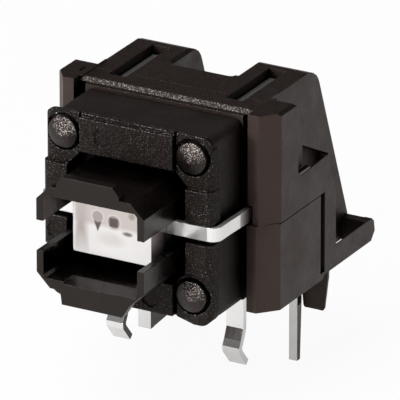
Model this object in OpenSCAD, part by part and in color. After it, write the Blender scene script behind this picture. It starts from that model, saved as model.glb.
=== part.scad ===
/* [Cover] */
// How far the cover plate reaches past the base on each side
cover_lip = 0.3; // [0.1:0.05:0.5]
// Height of the cover plate's lower edge above the board
cover_bottom = 0.3; // [0.1:0.1:0.6]
// Height of the cover plate's upper edge above the board
cover_top = 11.8; // [11.2:0.05:12]
// Thickness of the cover plate at its raised bands
cover_t = 1.15; // [0.9:0.05:1.6]
// Radius of the cover plate's corners
cover_r = 0.75; // [0.3:0.05:1.2]
// Rounding of the cover plate's upright front edges
cover_edge_r = 0.45; // [0.2:0.05:0.7]
// Radius of the plate's lower left corner, which keys it in its nest
key_r = 1.4; // [0.75:0.05:1.8]
// Height of the step behind the cover plate's upper edge
rebate_h = 0.75; // [0.4:0.05:0.9]
// Depth of the step behind the cover plate's upper edge
rebate_d = 0.67; // [0.3:0.01:0.75]
// How far the corner pads lie behind the raised bands
pad_recess = 0.25; // [0.1:0.05:0.4]
// How far the side bands stand out past the plate's edge
band_overhang = 0.04; // [0.02:0.01:0.2]
// Width of the fine groove on each side of the top and bottom bands
groove_w = 0.16; // [0.1:0.02:0.3]
// Gap between the plunger and the window's sides
window_side_gap = 0.38; // [0.2:0.01:0.5]
// Gap between the plunger and the window's ends
window_end_gap = 0.4; // [0.2:0.01:0.5]
// Cut across each corner of the window
window_cut = 0.9; // [0.6:0.05:1.2]
// Radius of the shallow ejector marks on the bands
ejector_r = 0.58; // [0.4:0.02:0.7]

/* [Base] */
// Half width of the switch base
base_half_w = 5.1; // [4.95:0.05:5.2]
// Height of the base's lower face above the board
base_bottom = 0.22; // [0.1:0.01:0.8]
// Height of the base's upper face above the board
base_top = 11.5; // [11.3:0.05:11.7]
// Depth of the base from the cover to the bracket
base_depth = 3.3; // [3.2:0.05:3.6]
// Thickness of the base's floor
floor_t = 0.9; // [0.8:0.05:1.2]
// Radius of the base's long edges
base_r = 0.5; // [0.2:0.05:0.8]
// Distance from the cover plate's side edge to a stake's middle
stake_inset = 1.25; // [1.2:0.01:1.4]
// Half the distance between stakes, upwards
stake_half_z = 4.22; // [4.15:0.01:4.3]
// Radius of a stake's shank
stake_r = 0.45; // [0.35:0.05:0.55]
// Radius of a stake's formed head
stake_head_r = 0.94; // [0.8:0.02:1]
// Height of a stake's formed head
stake_head_h = 0.37; // [0.3:0.01:0.6]

/* [Plunger] */
// Height of the lamp's axis above the board
axis_z = 6; // [5.9:0.05:6.1]
// How far the plunger's middle lies below the lamp's axis
plunger_drop = 0.15; // [0:0.05:0.2]
// Half width of the plunger
plunger_half_w = 3.47; // [3.3:0.01:3.55]
// Half height of the plunger
plunger_half_h = 3.1; // [3:0.05:3.15]
// Distance from the cover's bands to the plunger's front
plunger_reach = 4.11; // [3.4:0.01:4.6]
// Travel of the plunger when it is pressed
travel = 0.8; // [0.5:0.05:0.9]
// Thickness of the jaws above and below the lamp
jaw_web = 0.58; // [0.4:0.02:0.7]
// Thickness of the jaws' side arms
jaw_arm = 0.43; // [0.3:0.01:0.5]
// Cut across each outer corner of the jaws
jaw_cut = 0.86; // [0.5:0.02:1]
// Half the gap between the upper and the lower arms
arm_gap = 0.93; // [0.8:0.01:1]
// Half width of the catch on each jaw
catch_half_w = 1.95; // [1.5:0.05:2.3]
// How far the upper catch stands above its jaw
catch_h = 0.73; // [0.4:0.01:0.9]
// How far the lower catch reaches below its jaw
low_catch_h = 0.85; // [0.4:0.01:0.95]
// Thickness of a catch, front to back
catch_t = 0.6; // [0.4:0.05:0.9]
// How far the plunger's flange reaches past the window
flange_lap = 0.3; // [0.2:0.05:0.35]
// Thickness of the plunger's flange
flange_t = 0.6; // [0.4:0.05:0.7]

/* [Lamp] */
// Half width of the lamp's clear block
lamp_half_w = 2.53; // [2.3:0.01:2.6]
// Half height of the lamp's clear block
lamp_half_h = 1.78; // [1.5:0.02:2]
// Distance from the cover's bands to the lamp's front
lamp_reach = 1.68; // [1.2:0.02:2]
// Depth of the lamp's clear block
lamp_depth = 2.5; // [2.2:0.05:2.55]
// Half height of the lamp's lead strips
lead_half_h = 0.42; // [0.3:0.01:0.5]
// Thickness of the lamp's lead strips
lead_t = 0.3; // [0.2:0.02:0.35]
// Half the distance between the lamp's two board pins
lead_pin_x = 4.99; // [4.85:0.01:5.08]
// Width of a lamp pin
lead_pin_w = 0.53; // [0.4:0.01:0.6]
// How far the lamp's pins reach below the board
lead_pin_drop = 5.75; // [3:0.05:6]

/* [Bracket] */
// Half width of the bracket over its posts
bracket_half_w = 7.22; // [7:0.02:7.4]
// Height of the bracket's posts and roof above the board
bracket_top = 12.05; // [11.9:0.05:12.3]
// Gap between the switch base and each post
post_gap = 0.54; // [0.4:0.02:0.7]
// Depth of a post, front to back
post_depth = 3.12; // [2.6:0.02:3.3]
// How far the posts reach forward of the base's back
post_lead = 0.42; // [0.3:0.01:0.7]
// Thickness of the bracket's outer skirt
skirt_t = 0.47; // [0.4:0.01:0.6]
// Thickness of the bracket's other walls
wall_t = 0.75; // [0.6:0.05:0.9]
// How far the ducts' outer walls lie inside the posts' inner faces
duct_step = 0.06; // [0.02:0.02:0.2]
// Inner half width between the two roof ducts
duct_inner = 2.1; // [1.8:0.02:2.2]
// Distance from the terminal row back to the ducts' upper rear corner
duct_back = 6.25; // [5.8:0.05:6.6]
// Distance from the terminal row back to the end of the foot
foot_back = 10.45; // [10.3:0.05:11.5]
// Height of the foot above the board
foot_h = 1.6; // [1.2:0.05:1.8]
// Distance from the terminal row back to the roof's end between the ducts
roof_back = 2.7; // [2:0.05:3.5]
// Width of the groove that each upper terminal lies in
channel_w = 1.08; // [1:0.02:1.4]
// Depth of the groove that each upper terminal lies in
channel_d = 0.95; // [0.8:0.05:1.1]
// Width of the upright slot in each side
side_slot_w = 0.5; // [0.3:0.02:0.7]
// Length of the bracket's locating pegs below the board's face
peg_l = 2.5; // [1.5:0.1:3]
// Height of the skirt's cross bar above the board
bar_top = 7.38; // [6.5:0.02:8]
// Height at which the posts' lower part begins to stand forward
arm_top = 5.35; // [4.8:0.05:6]

/* [Terminals] */
// Half the distance between the two switch terminals
terminal_x = 3.81; // [3.7:0.01:3.9]
// Width of a switch terminal
terminal_w = 1.1; // [0.9:0.02:1.15]
// Width of a terminal's upper leg
upper_w = 0.96; // [0.8:0.02:1]
// Thickness of the terminal strip
terminal_t = 0.35; // [0.25:0.01:0.4]
// How far the switch terminals reach below the board's face
terminal_drop = 4.4; // [3.5:0.05:5]
// How far a terminal's snap-in bend swings forward
kink = 0.55; // [0.3:0.05:0.7]

/* [Spring and dome] */
// Radius of the snap dome
dome_r = 2.2; // [1.8:0.05:2.4]
// Height of the snap dome
dome_h = 0.42; // [0.3:0.02:0.5]
// Thickness of the snap dome
dome_t = 0.08; // [0.06:0.01:0.12]
// Wire diameter of the return spring
wire_d = 0.16; // [0.12:0.01:0.18]
// Mean radius of the return spring
spring_r = 0.95; // [0.8:0.05:1.1]
// Turns of the return spring
spring_turns = 2.5; // [2:0.5:3]

/* [Hidden] */

// Directions: X to the right, Y to the back, Z up from the board's face.
// The row of the two lower switch terminals is the line y = 0.
fit = 0.02;
run_gap = 0.05;
way_gap = 0.12;
eps = 0.01;
past = 1;

base_back = -1.65;
base_front = base_back - base_depth;
cover_back = base_front;
cover_front = cover_back - cover_t;
pad_front = cover_front + pad_recess;
cover_half_w = base_half_w + cover_lip;
window_half_w = plunger_half_w + window_side_gap;
window_half_h = plunger_half_h + window_end_gap;
window_z = axis_z + 0.05;
stake_half_x = cover_half_w - stake_inset;
stake_z = axis_z + 0.25;
band_half_z = 2.53;
band_mid_z = axis_z + 0.03;
bar_half_x = 3.0;
band_rise = 0.34;
band_drop = 0.2;

plunger_z = axis_z - plunger_drop;
plunger_front = cover_front - plunger_reach;
flange_front = cover_back + run_gap;
flange_back = flange_front + flange_t;
cavity_floor = base_back - floor_t;
cavity_clear = 0.15;
flange_half_w = window_half_w + flange_lap;
flange_half_h = window_half_h + flange_lap;
flange_cut = window_cut + 0.4;
ramp_x = 0.62;

lamp_front = cover_front - lamp_reach;
lead_front = cover_front + 0.2;
post_inner = base_half_w + post_gap;
duct_outer = post_inner - duct_step;
lead_wrap_x = max(cover_half_w + band_overhang, base_half_w) + run_gap;
lead_run_x = post_inner - 0.1;
lead_way_x = lead_run_x + lead_t + way_gap;
lead_row = 4.85;
lead_pin_d = 0.36;
pin_front = lead_row - lead_pin_d / 2;
pin_root_d = 0.54;
blade_w = 0.84;
blade_back = pin_front + 1.9;

post_front = base_back - post_lead;
post_back = post_front + post_depth;
wall_front = base_back;
wall_back = 0.25;
roof_top = bracket_top - 0.05;
notch_back = wall_front + 1.15;
notch_top = bracket_top - 0.3;
rear_post_front = 4.3;
rear_post_d = 1.38;
foot_bottom = 0.22;
slope_foot = foot_back - 0.3;

terminal_out_z = 1.9;
upper_out_z = 9.95;
channel_front = -terminal_t / 2 - way_gap;
lamp_shift = 0.06;
channel_floor = bracket_top - channel_d;
upper_end = 4.6;
frame_y = base_back - floor_t / 2;
frame_t = 0.3;

// A flat outline drawn in X and Z, pushed from one depth to another
module slab(from, to) {
    translate([0, to, 0])
        rotate([90, 0, 0])
            linear_extrude(to - from)
                children();
}

// A flat outline drawn in Y and Z, centred on an X position
module side_plate(x, w) {
    translate([x - w / 2, 0, 0])
        rotate([90, 0, 90])
            linear_extrude(w)
                children();
}

module box(from, to) {
    translate(from)
        cube(to - from);
}

module both_sides() {
    children();
    mirror([1, 0, 0])
        children();
}

// Rectangle with its four corners cut at 45 degrees
module cut_rect(half_w, half_h, cut) {
    polygon([
        [-half_w + cut, -half_h],
        [half_w - cut, -half_h],
        [half_w, -half_h + cut],
        [half_w, half_h - cut],
        [half_w - cut, half_h],
        [-half_w + cut, half_h],
        [-half_w, half_h - cut],
        [-half_w, -half_h + cut]
    ]);
}

module round_rect(x0, z0, x1, z1, r) {
    translate([x0 + r, z0])
        square([x1 - x0 - 2 * r, z1 - z0]);
    translate([x0, z0 + r])
        square([x1 - x0, z1 - z0 - 2 * r]);
    for (x = [x0 + r, x1 - r], z = [z0 + r, z1 - r])
        translate([x, z])
            circle(r, $fn = 48);
}

module at_stakes() {
    for (x = [-stake_half_x, stake_half_x], z = [stake_z - stake_half_z, stake_z + stake_half_z])
        translate([x, 0, z])
            rotate([90, 0, 0])
                children();
}

// A strip of metal that follows points in Y and Z, with mitred bends
function unit(v) = v / norm(v);
function left_of(v) = [-v[1], v[0]];
function mitre(p, i) =
    i == 0 ? left_of(unit(p[1] - p[0])) :
    i == len(p) - 1 ? left_of(unit(p[i] - p[i - 1])) :
    let (a = left_of(unit(p[i] - p[i - 1])), b = left_of(unit(p[i + 1] - p[i])))
    (a + b) / (1 + a * b);

module strip_outline(p, t) {
    near = [for (i = [0 : len(p) - 1]) p[i] + mitre(p, i) * t / 2];
    far = [for (i = [len(p) - 1 : -1 : 0]) p[i] - mitre(p, i) * t / 2];
    polygon(concat(near, far));
}

// Cover plate: corner pads set back, four raised bands round the window,
// a slot on each side for the lamp's leads and a hole over each stake.
module front_cover() {
    color([0.13, 0.12, 0.12])
    difference() {
        union() {
            intersection() {
                slab(pad_front, cover_back)
                    plate_outline();
                plan_round(cover_half_w, pad_front);
            }
            intersection() {
                slab(cover_front, cover_back)
                    band_outline();
                plan_round(cover_half_w + band_overhang, cover_front);
            }
        }
        slab(cover_front - eps, cover_back + eps)
            translate([0, window_z])
                cut_rect(window_half_w, window_half_h, window_cut);
        at_stakes()
            translate([0, 0, -cover_back - eps])
                cylinder(r = stake_r + fit, h = cover_t + 2 * eps, $fn = 48);
        at_stakes()
            translate([0, 0, -pad_front - 0.3])
                cylinder(r = stake_head_r + 0.2, h = 1, $fn = 64);
        fine_grooves();
        lead_slots();
        ejector_marks();
        back_rebate();
    }
}

// Upright block with rounded front edges
module plan_round(half_w, front) {
    linear_extrude(cover_top + 1)
        round_rect(-half_w, front, half_w, cover_back + 1, cover_edge_r);
}

// The lower edge rises between the two bottom corners
module plate_outline() {
    difference() {
        round_rect(-cover_half_w, cover_bottom, cover_half_w, cover_top, cover_r);
        polygon([
            [-bar_half_x - 1.3, cover_bottom - eps],
            [-bar_half_x, cover_bottom + band_rise],
            [bar_half_x, cover_bottom + band_rise],
            [bar_half_x + 1.3, cover_bottom - eps]
        ]);
        difference() {
            translate([-cover_half_w - eps, cover_bottom - eps])
                square(key_r);
            translate([-cover_half_w + key_r, cover_bottom + key_r])
                circle(key_r, $fn = 64);
        }
    }
}

module band_outline() {
    edge = cover_half_w + band_overhang;
    top = cover_top - band_drop;
    translate([-edge, band_mid_z - band_half_z])
        square([2 * edge, 2 * band_half_z]);
    translate([-bar_half_x, cover_bottom + band_rise])
        square([2 * bar_half_x, top - cover_bottom - band_rise]);
}

module fine_grooves() {
    for (x = [-bar_half_x - groove_w, bar_half_x])
        slab(cover_front - eps, pad_front + 0.3)
            translate([x, cover_bottom - eps])
                square([groove_w, cover_top - cover_bottom + 2 * eps]);
}

module lead_slots() {
    slot_back = lead_front + lead_t + fit;
    both_sides()
        box(
            [window_half_w - 1, cover_front - eps, axis_z - 0.68],
            [cover_half_w + 1, slot_back, axis_z + 0.58]
        );
    both_sides()
        box(
            [cover_half_w - 0.06, cover_front - eps, axis_z - 0.68],
            [cover_half_w + 1, cover_back + eps, axis_z + 0.58]
        );
}

module ejector_marks() {
    for (p = [[4.6, axis_z + 1.75], [-4.55, axis_z - 1.6], [1.56, 1.5], [-1.5, 10.6]])
        slab(cover_front - eps, cover_front + 0.08)
            translate(p)
                circle(ejector_r, $fn = 48);
}

// Finger-nail gap along the top between the plate and the base
module back_rebate() {
    box(
        [-cover_half_w - past, cover_back - rebate_d, cover_top - rebate_h],
        [cover_half_w + past, cover_back + eps, cover_top + past]
    );
}

// Base moulding: open box with a solid floor, four stakes through the cover
// whose ends are formed into round heads, and openings for the contacts.
module switch_base() {
    color([0.12, 0.11, 0.11])
    difference() {
        union() {
            slab(base_front, base_back)
                round_rect(-base_half_w, base_bottom, base_half_w, base_top, base_r);
            at_stakes()
                translate([0, 0, -base_front - eps])
                    cylinder(r = stake_r, h = cover_t - pad_recess + 2 * eps, $fn = 48);
            at_stakes()
                translate([0, 0, -pad_front - 0.3])
                    stake_head();
        }
        slab(base_front - eps, cavity_floor)
            translate([0, window_z])
                cut_rect(
                    flange_half_w + cavity_clear,
                    flange_half_h + cavity_clear + 0.1,
                    flange_cut
                );
        contact_frame(1);
        contact_frame(-1);
        contact_finger(1);
        contact_finger(-1);
    }
}

module stake_head() {
    rim = 0.14;
    rise = stake_head_h - rim;
    dome = (pow(stake_head_r, 2) + pow(rise, 2)) / (2 * rise);
    intersection() {
        cylinder(r = stake_head_r, h = stake_head_h + 0.3, $fn = 64);
        translate([0, 0, stake_head_h + 0.3 - dome])
            sphere(dome, $fn = 96);
    }
}

// Plunger: two C-shaped jaws round the lamp, joined at the back by the
// flange that keeps them behind the cover and presses the spring.
module plunger() {
    color([0.16, 0.15, 0.15])
    difference() {
        union() {
            slab(plunger_front, flange_front + eps)
                translate([0, plunger_z])
                    jaws();
            slab(flange_front, flange_back)
                translate([0, window_z])
                    cut_rect(flange_half_w, flange_half_h, flange_cut);
            slab(plunger_front, plunger_front + catch_t)
                translate([0, plunger_z])
                    catches();
            translate([0, flange_back - eps, axis_z])
                rotate([-90, 0, 0])
                    cylinder(r = spring_r - wire_d / 2 - run_gap, h = 0.35, $fn = 48);
        }
        front_bevels();
    }
}

module jaws() {
    difference() {
        cut_rect(plunger_half_w, plunger_half_h, jaw_cut);
        cut_rect(plunger_half_w - jaw_arm, plunger_half_h - jaw_web, jaw_cut * 0.2);
        square([2 * plunger_half_w + 1, 2 * arm_gap], center = true);
    }
}

module catches() {
    polygon([
        [-catch_half_w - 0.22, plunger_half_h - 0.1],
        [catch_half_w - 0.05, plunger_half_h - 0.1],
        [catch_half_w - 0.1, plunger_half_h + catch_h * 0.35],
        [catch_half_w - 0.5, plunger_half_h + catch_h],
        [-catch_half_w + 0.17, plunger_half_h + catch_h],
        [-catch_half_w - 0.2, plunger_half_h + catch_h * 0.5]
    ]);
    polygon([
        [-catch_half_w - 0.02, -plunger_half_h + 0.1],
        [catch_half_w + 0.62, -plunger_half_h + 0.1],
        [catch_half_w + 0.56, -plunger_half_h - low_catch_h * 0.15],
        [catch_half_w + 0.1, -plunger_half_h - low_catch_h],
        [-catch_half_w + 0.1, -plunger_half_h - low_catch_h]
    ]);
}

// Sloped lead-in along the inside of the lower jaw
module front_bevels() {
    side_plate(ramp_x, 2 * (plunger_half_w - jaw_arm) - 1.4)
        polygon([
            [plunger_front - 1, plunger_z - plunger_half_h + jaw_web - 0.28],
            [plunger_front + 1.1, plunger_z - plunger_half_h + jaw_web],
            [plunger_front + 1.1, plunger_z - plunger_half_h + jaw_web + 0.5],
            [plunger_front - 1, plunger_z - plunger_half_h + jaw_web + 0.5]
        ]);
}

// Clear block cast round the inner ends of the two leads
module lamp_block() {
    color([0.93, 0.94, 0.95])
    difference() {
        slab(lamp_front, lamp_front + lamp_depth)
            round_rect(
                lamp_shift - lamp_half_w,
                axis_z - lamp_half_h,
                lamp_shift + lamp_half_w,
                axis_z + lamp_half_h,
                0.12
            );
        lamp_cup_lead_shape();
        lamp_post_lead_shape();
        lamp_die_shape();
        bond_wire_shape();
    }
}

cup_x = -1.36;
cup_z = axis_z + 0.19;
cup_r = 0.37;
post_x = -0.34;
post_half = 0.33;
cup_front = lead_front - 0.35;
strip_root = lamp_half_w - 0.55;

// One lamp lead: out of the block's side, round the cover's edge, back
// between the base and the post, then down to the board.
module lead_strip(side) {
    z0 = axis_z - lead_half_h;
    z1 = axis_z + lead_half_h;
    outer = lead_wrap_x + lead_t;
    bend = 0.35;
    scale_x = side;
    mirror([scale_x < 0 ? 1 : 0, 0, 0]) {
        translate([0, 0, z0])
            linear_extrude(z1 - z0)
                polygon(concat(
                    [[strip_root, lead_front], [outer - bend - lead_t, lead_front]],
                    [for (a = [0 : 15 : 90])
                        [outer - bend - lead_t, lead_front + bend + lead_t]
                            + (bend + lead_t) * [sin(a), -cos(a)]],
                    [[outer, base_front + 0.6], [lead_run_x + lead_t, base_front + 1.7]],
                    [[lead_run_x + lead_t, lead_row + lead_pin_d / 2]],
                    [[lead_run_x, lead_row + lead_pin_d / 2], [lead_run_x, base_front + 1.65]],
                    [[outer - lead_t, base_front + 0.6]],
                    [for (a = [90 : -15 : 0])
                        [outer - bend - lead_t, lead_front + bend + lead_t]
                            + bend * [sin(a), -cos(a)]],
                    [[strip_root, lead_front + lead_t]]
                ));
        box(
            [lead_pin_x - lead_pin_w / 2, lead_row - lead_pin_d / 2, z0],
            [lead_run_x + lead_t, lead_row + lead_pin_d / 2, z0 + 0.5]
        );
        if (side > 0)
            side_plate(lead_pin_x, lead_pin_w)
                polygon([
                    [pin_front, z0 + 0.5],
                    [pin_front + lead_pin_d, z0 + 0.5],
                    [pin_front + lead_pin_d, 0],
                    [pin_front + pin_root_d, -lead_pin_drop / 3],
                    [pin_front + lead_pin_d, -lead_pin_drop],
                    [pin_front, -lead_pin_drop]
                ]);
        else
            blade_pin(z0 + 0.5);
    }
}

// The cup's pin widens below the board and has one edge folded back
module blade_pin(top) {
    outer = lead_pin_x + lead_pin_w / 2;
    box([lead_pin_x - lead_pin_w / 2, pin_front, -1.5], [outer, pin_front + lead_pin_d, top]);
    box([outer - blade_w, pin_front, -lead_pin_drop], [outer, pin_front + lead_pin_d, -1.5 + eps]);
    side_plate(outer - blade_w + lead_t / 2, lead_t)
        polygon([
            [pin_front, -lead_pin_drop],
            [blade_back, -lead_pin_drop + 0.15],
            [blade_back, -2],
            [blade_back - 0.5, -1.5],
            [pin_front, -1.5]
        ]);
}

// Cup with its die pocket on a tapered stem
module lamp_cup_lead_shape() {
    lead_strip(-1);
    box([-strip_root - eps, lead_front, axis_z - 0.2], [cup_x, lead_front + lead_t, axis_z + 0.2]);
    slab(cup_front + 0.15, lead_front + lead_t)
        polygon([
            [cup_x - 0.19, cup_z],
            [cup_x - 0.1, cup_z - 0.85],
            [cup_x + 0.08, cup_z - 0.85],
            [cup_x + 0.19, cup_z]
        ]);
    difference() {
        translate([cup_x, lead_front + lead_t, cup_z])
            rotate([90, 0, 0])
                cylinder(r = cup_r, h = lead_front + lead_t - cup_front, $fn = 48);
        translate([cup_x, cup_front + 0.2, cup_z])
            rotate([90, 0, 0])
                cylinder(r = cup_r - 0.08, h = past, $fn = 48);
    }
}

module lamp_post_lead_shape() {
    lead_strip(1);
    box([post_x, lead_front, axis_z - 0.2], [strip_root + eps, lead_front + lead_t, axis_z + 0.2]);
    slab(cup_front, lead_front + lead_t)
        translate([post_x, axis_z])
            cut_rect(post_half, post_half, 0.08);
}

module lamp_die_shape() {
    box(
        [cup_x - 0.14, cup_front + 0.06, cup_z - 0.14],
        [cup_x + 0.14, cup_front + 0.2, cup_z + 0.14]
    );
}

// Fine wire from the chip over to the post
module bond_wire_shape() {
    y = cup_front + 0.06;
    run = post_x - cup_x - 0.14;
    path = [[0, 0], [0.04, 0.16], [0.2, 0.26], [run - 0.25, 0.24], [run, 0.04]];
    translate([cup_x, y, cup_z - 0.02])
        linear_extrude(0.04)
            polygon(concat(
                [for (q = path) [q[0], -q[1]]],
                [for (k = [len(path) - 1 : -1 : 0]) [path[k][0] + (k < 2 ? 0.04 : 0), 0.04 - path[k][1]]]
            ));
}

module lamp_cup_lead() {
    color([0.85, 0.85, 0.86])
    lamp_cup_lead_shape();
}

module lamp_post_lead() {
    color([0.85, 0.85, 0.86])
    lamp_post_lead_shape();
}

module bond_wire() {
    color([0.9, 0.75, 0.35])
    bond_wire_shape();
}

module lamp_die() {
    color([0.85, 0.75, 0.35])
    lamp_die_shape();
}

// Contact stamping set in the base's floor: a kinked lower leg, an upper
// leg folded over the bracket's roof and a finger towards the dome.
lower_path = [
    [frame_y, terminal_out_z],
    [0, terminal_out_z],
    [0, -terminal_drop * 0.485],
    [-kink * 0.55, -terminal_drop * 0.645],
    [-kink * 0.92, -terminal_drop * 0.725],
    [-kink * 0.85, -terminal_drop * 0.785],
    [0.3, -terminal_drop + 0.05]
];
upper_path = [
    [frame_y, upper_out_z],
    [0, upper_out_z],
    [0, channel_floor + terminal_t / 2],
    [upper_end, channel_floor + terminal_t / 2],
    [upper_end, channel_floor - 0.7]
];

module contact_frame(side) {
    mirror([side < 0 ? 1 : 0, 0, 0]) {
        side_plate(terminal_x, terminal_w)
            strip_outline(lower_path, terminal_t);
        side_plate(terminal_x, upper_w)
            strip_outline(upper_path, terminal_t);
        box(
            [terminal_x - terminal_w / 2, frame_y - frame_t / 2, terminal_out_z - terminal_t / 2],
            [terminal_x + terminal_w / 2, frame_y + frame_t / 2, upper_out_z + terminal_t / 2]
        );
    }
}

// The left stamping ends under the middle of the dome, the right one
// under its rim.
module contact_finger(side) {
    reach = side < 0 ? 0 : dome_r - 0.15;
    tip_r = side < 0 ? 0.45 : 0.3;
    mirror([side < 0 ? 1 : 0, 0, 0]) {
        box(
            [reach, frame_y - frame_t / 2, axis_z - 0.3],
            [terminal_x, frame_y + frame_t / 2, axis_z + 0.3]
        );
        translate([reach, frame_y + frame_t / 2, axis_z])
            rotate([90, 0, 0])
                cylinder(r = tip_r, h = frame_y + frame_t / 2 - cavity_floor, $fn = 48);
    }
}

module contact_frame_left() {
    color([0.86, 0.86, 0.87]) {
        contact_frame(-1);
        contact_finger(-1);
    }
}

module contact_frame_right() {
    color([0.86, 0.86, 0.87]) {
        contact_frame(1);
        contact_finger(1);
    }
}

// Domed disc of spring steel on the base's floor
module snap_dome() {
    outer = (pow(dome_r, 2) + pow(dome_h, 2)) / (2 * dome_h);
    color([0.78, 0.78, 0.76])
    translate([0, cavity_floor, axis_z])
        rotate([90, 0, 0])
            rotate_extrude($fn = 64)
                intersection() {
                    difference() {
                        translate([0, dome_h - outer])
                            circle(outer, $fn = 256);
                        translate([0, dome_h - outer])
                            circle(outer - dome_t, $fn = 256);
                    }
                    square([dome_r, dome_h]);
                }
}

// Coil between the plunger's flange and the dome
function spring_ring(p, t, n) = [
    for (i = [0 : n - 1])
        p + wire_d / 2 * (cos(360 * i / n) * [t[0], 0, t[1]] + sin(360 * i / n) * [0, 1, 0])
];
module return_spring() {
    n = 8;
    steps = 16;
    y0 = flange_back + wire_d / 2;
    y1 = cavity_floor - dome_h - wire_d / 2;
    count = round(spring_turns * steps);
    rings = [
        for (k = [0 : count])
            let (a = 360 * k / steps)
            spring_ring(
                [spring_r * cos(a), y0 + (y1 - y0) * k / count, axis_z + spring_r * sin(a)],
                [cos(a), sin(a)],
                n
            )
    ];
    points = [for (r = rings) each r];
    sides = [
        for (k = [0 : count - 1], i = [0 : n - 1])
            [k * n + i, k * n + (i + 1) % n, (k + 1) * n + (i + 1) % n, (k + 1) * n + i]
    ];
    ends = [[for (i = [n - 1 : -1 : 0]) i], [for (i = [0 : n - 1]) count * n + i]];
    color([0.75, 0.75, 0.74])
    polyhedron(points, concat(sides, ends));
}

// Right-angle bracket: wall behind the base, two hollow ducts under the
// roof with sloped backs, corner posts, and an outer skirt down to the board.
module bracket() {
    color([0.2, 0.18, 0.18])
    difference() {
        union() {
            back_wall();
            both_sides()
                duct();
            both_sides()
                post();
            both_sides()
                skirt();
            both_sides()
                peg();
            rear_bar();
        }
        terminal_ways();
        lead_ways();
        roof_bevel();
        both_sides()
            post_edges();
        box([-6.05, post_front + 1.25, bracket_top - 0.15], [-5.9, post_front + 2.05, bracket_top + past]);
    }
}

module back_wall() {
    slab(wall_front, wall_back)
        translate([-duct_outer, 0])
            square([2 * duct_outer, roof_top]);
    box([-duct_inner - 1, wall_back - eps, bracket_top - 1], [duct_inner + 1, roof_back, roof_top]);
    both_sides()
        translate([0, 0, bracket_top - 1])
            linear_extrude(roof_top - bracket_top + 1)
                polygon([
                    [duct_inner - 0.3, roof_back - eps],
                    [duct_inner - 0.08, roof_back + 0.1],
                    [duct_inner, roof_back + 0.3],
                    [duct_inner + 0.3, roof_back + 0.3],
                    [duct_inner + 0.3, roof_back - eps]
                ]);
}

// Bevel along the roof's front edge and the fine parting groove behind it
module roof_bevel() {
    side_plate(0, 2 * post_inner - eps)
        polygon([
            [wall_front - eps, roof_top - 0.3],
            [wall_front + 0.25, roof_top - 0.24],
            [wall_front + 0.45, roof_top + eps],
            [wall_front - eps, roof_top + eps]
        ]);
    box([-duct_outer, wall_back - 0.13, roof_top - 0.06], [duct_outer, wall_back - 0.05, roof_top + past]);
}

// Bevels on a post's top and the fine parting line on its side
module post_edges() {
    side_plate((duct_outer + bracket_half_w + past) / 2, bracket_half_w + past - duct_outer)
        polygon([
            [post_back - 0.45, bracket_top + eps],
            [post_back, bracket_top - 0.3],
            [post_back + past, bracket_top - 0.3],
            [post_back + past, bracket_top + eps]
        ]);
    slab(post_front - past, post_back + past)
        polygon([
            [bracket_half_w - 0.2, bracket_top + eps],
            [bracket_half_w + eps, bracket_top - 0.2],
            [bracket_half_w + eps, bracket_top + eps]
        ]);
    box(
        [bracket_half_w - 0.06, post_front, arm_top - 0.05],
        [bracket_half_w + past, rear_post_front - side_slot_w, arm_top]
    );
}

module duct_side() {
    polygon([
        [wall_back - eps, 0],
        [rear_post_front - side_slot_w, 0],
        [rear_post_front, foot_bottom],
        [slope_foot, foot_bottom],
        [slope_foot, foot_h],
        [duct_back + 0.37, bracket_top - 1.05],
        [duct_back + 0.25, bracket_top - 0.8],
        [duct_back, bracket_top - 0.5],
        [duct_back - 0.4, bracket_top - 0.23],
        [duct_back - 0.95, roof_top],
        [wall_back - eps, roof_top]
    ]);
}

module duct_hollow() {
    polygon([
        [wall_back, -1],
        [slope_foot - wall_t, -1],
        [slope_foot - wall_t, foot_h],
        [duct_back - wall_t, channel_floor - 0.9],
        [wall_back, channel_floor - 0.9]
    ]);
}

module duct() {
    mid = (duct_outer + duct_inner) / 2;
    difference() {
        side_plate(mid, duct_outer - duct_inner)
            duct_side();
        side_plate(mid, duct_outer - duct_inner - 2 * wall_t)
            duct_hollow();
        side_plate(duct_outer, 2 * wall_t - eps)
            polygon([
                [rear_post_front + 0.28, 3],
                [rear_post_front + 3.4, 3],
                [rear_post_front + 3.4, bar_top - 1.16],
                [rear_post_front + 0.28, bar_top + 0.43]
            ]);
        slab(roof_back, duct_back + past)
            polygon([
                [duct_inner - eps, roof_top - 0.2],
                [duct_inner + 0.2, roof_top + eps],
                [duct_inner - eps, roof_top + eps]
            ]);
    }
}

module post() {
    lip = 0.1;
    translate([0, 0, arm_top])
        linear_extrude(bracket_top - arm_top)
            post_plan(0);
    linear_extrude(arm_top)
        post_plan(lip);
}

module post_plan(lip) {
    cut_x = (bracket_half_w - post_inner) * 0.55;
    cut_y = 1.12;
    polygon([
        [post_inner, post_front - lip],
        [bracket_half_w - cut_x - lip, post_front - lip],
        [bracket_half_w, post_front + cut_y - lip],
        [bracket_half_w, post_back],
        [duct_outer + 0.45, post_back],
        [duct_outer + 0.12, post_back + 0.14],
        [duct_outer, post_back + 0.45],
        [duct_outer - 0.1, post_back + 0.45],
        [duct_outer - 0.1, wall_front + 0.25],
        [post_inner, wall_front + 0.25]
    ]);
}

module skirt() {
    difference() {
        skirt_wall();
        inner_bevel(post_back, rear_post_front + rear_post_d - 1.1, bar_top);
        inner_bevel(rear_post_front + rear_post_d, foot_back - 0.45, foot_h);
    }
}

// The top edges of the bar and of the foot slope down inwards
module inner_bevel(from, to, top) {
    slab(from, to)
        polygon([
            [bracket_half_w - skirt_t - eps, top - 0.42],
            [bracket_half_w - 0.05, top],
            [bracket_half_w - 0.05, top + 0.5],
            [bracket_half_w - skirt_t - eps, top + 0.5]
        ]);
}

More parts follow.
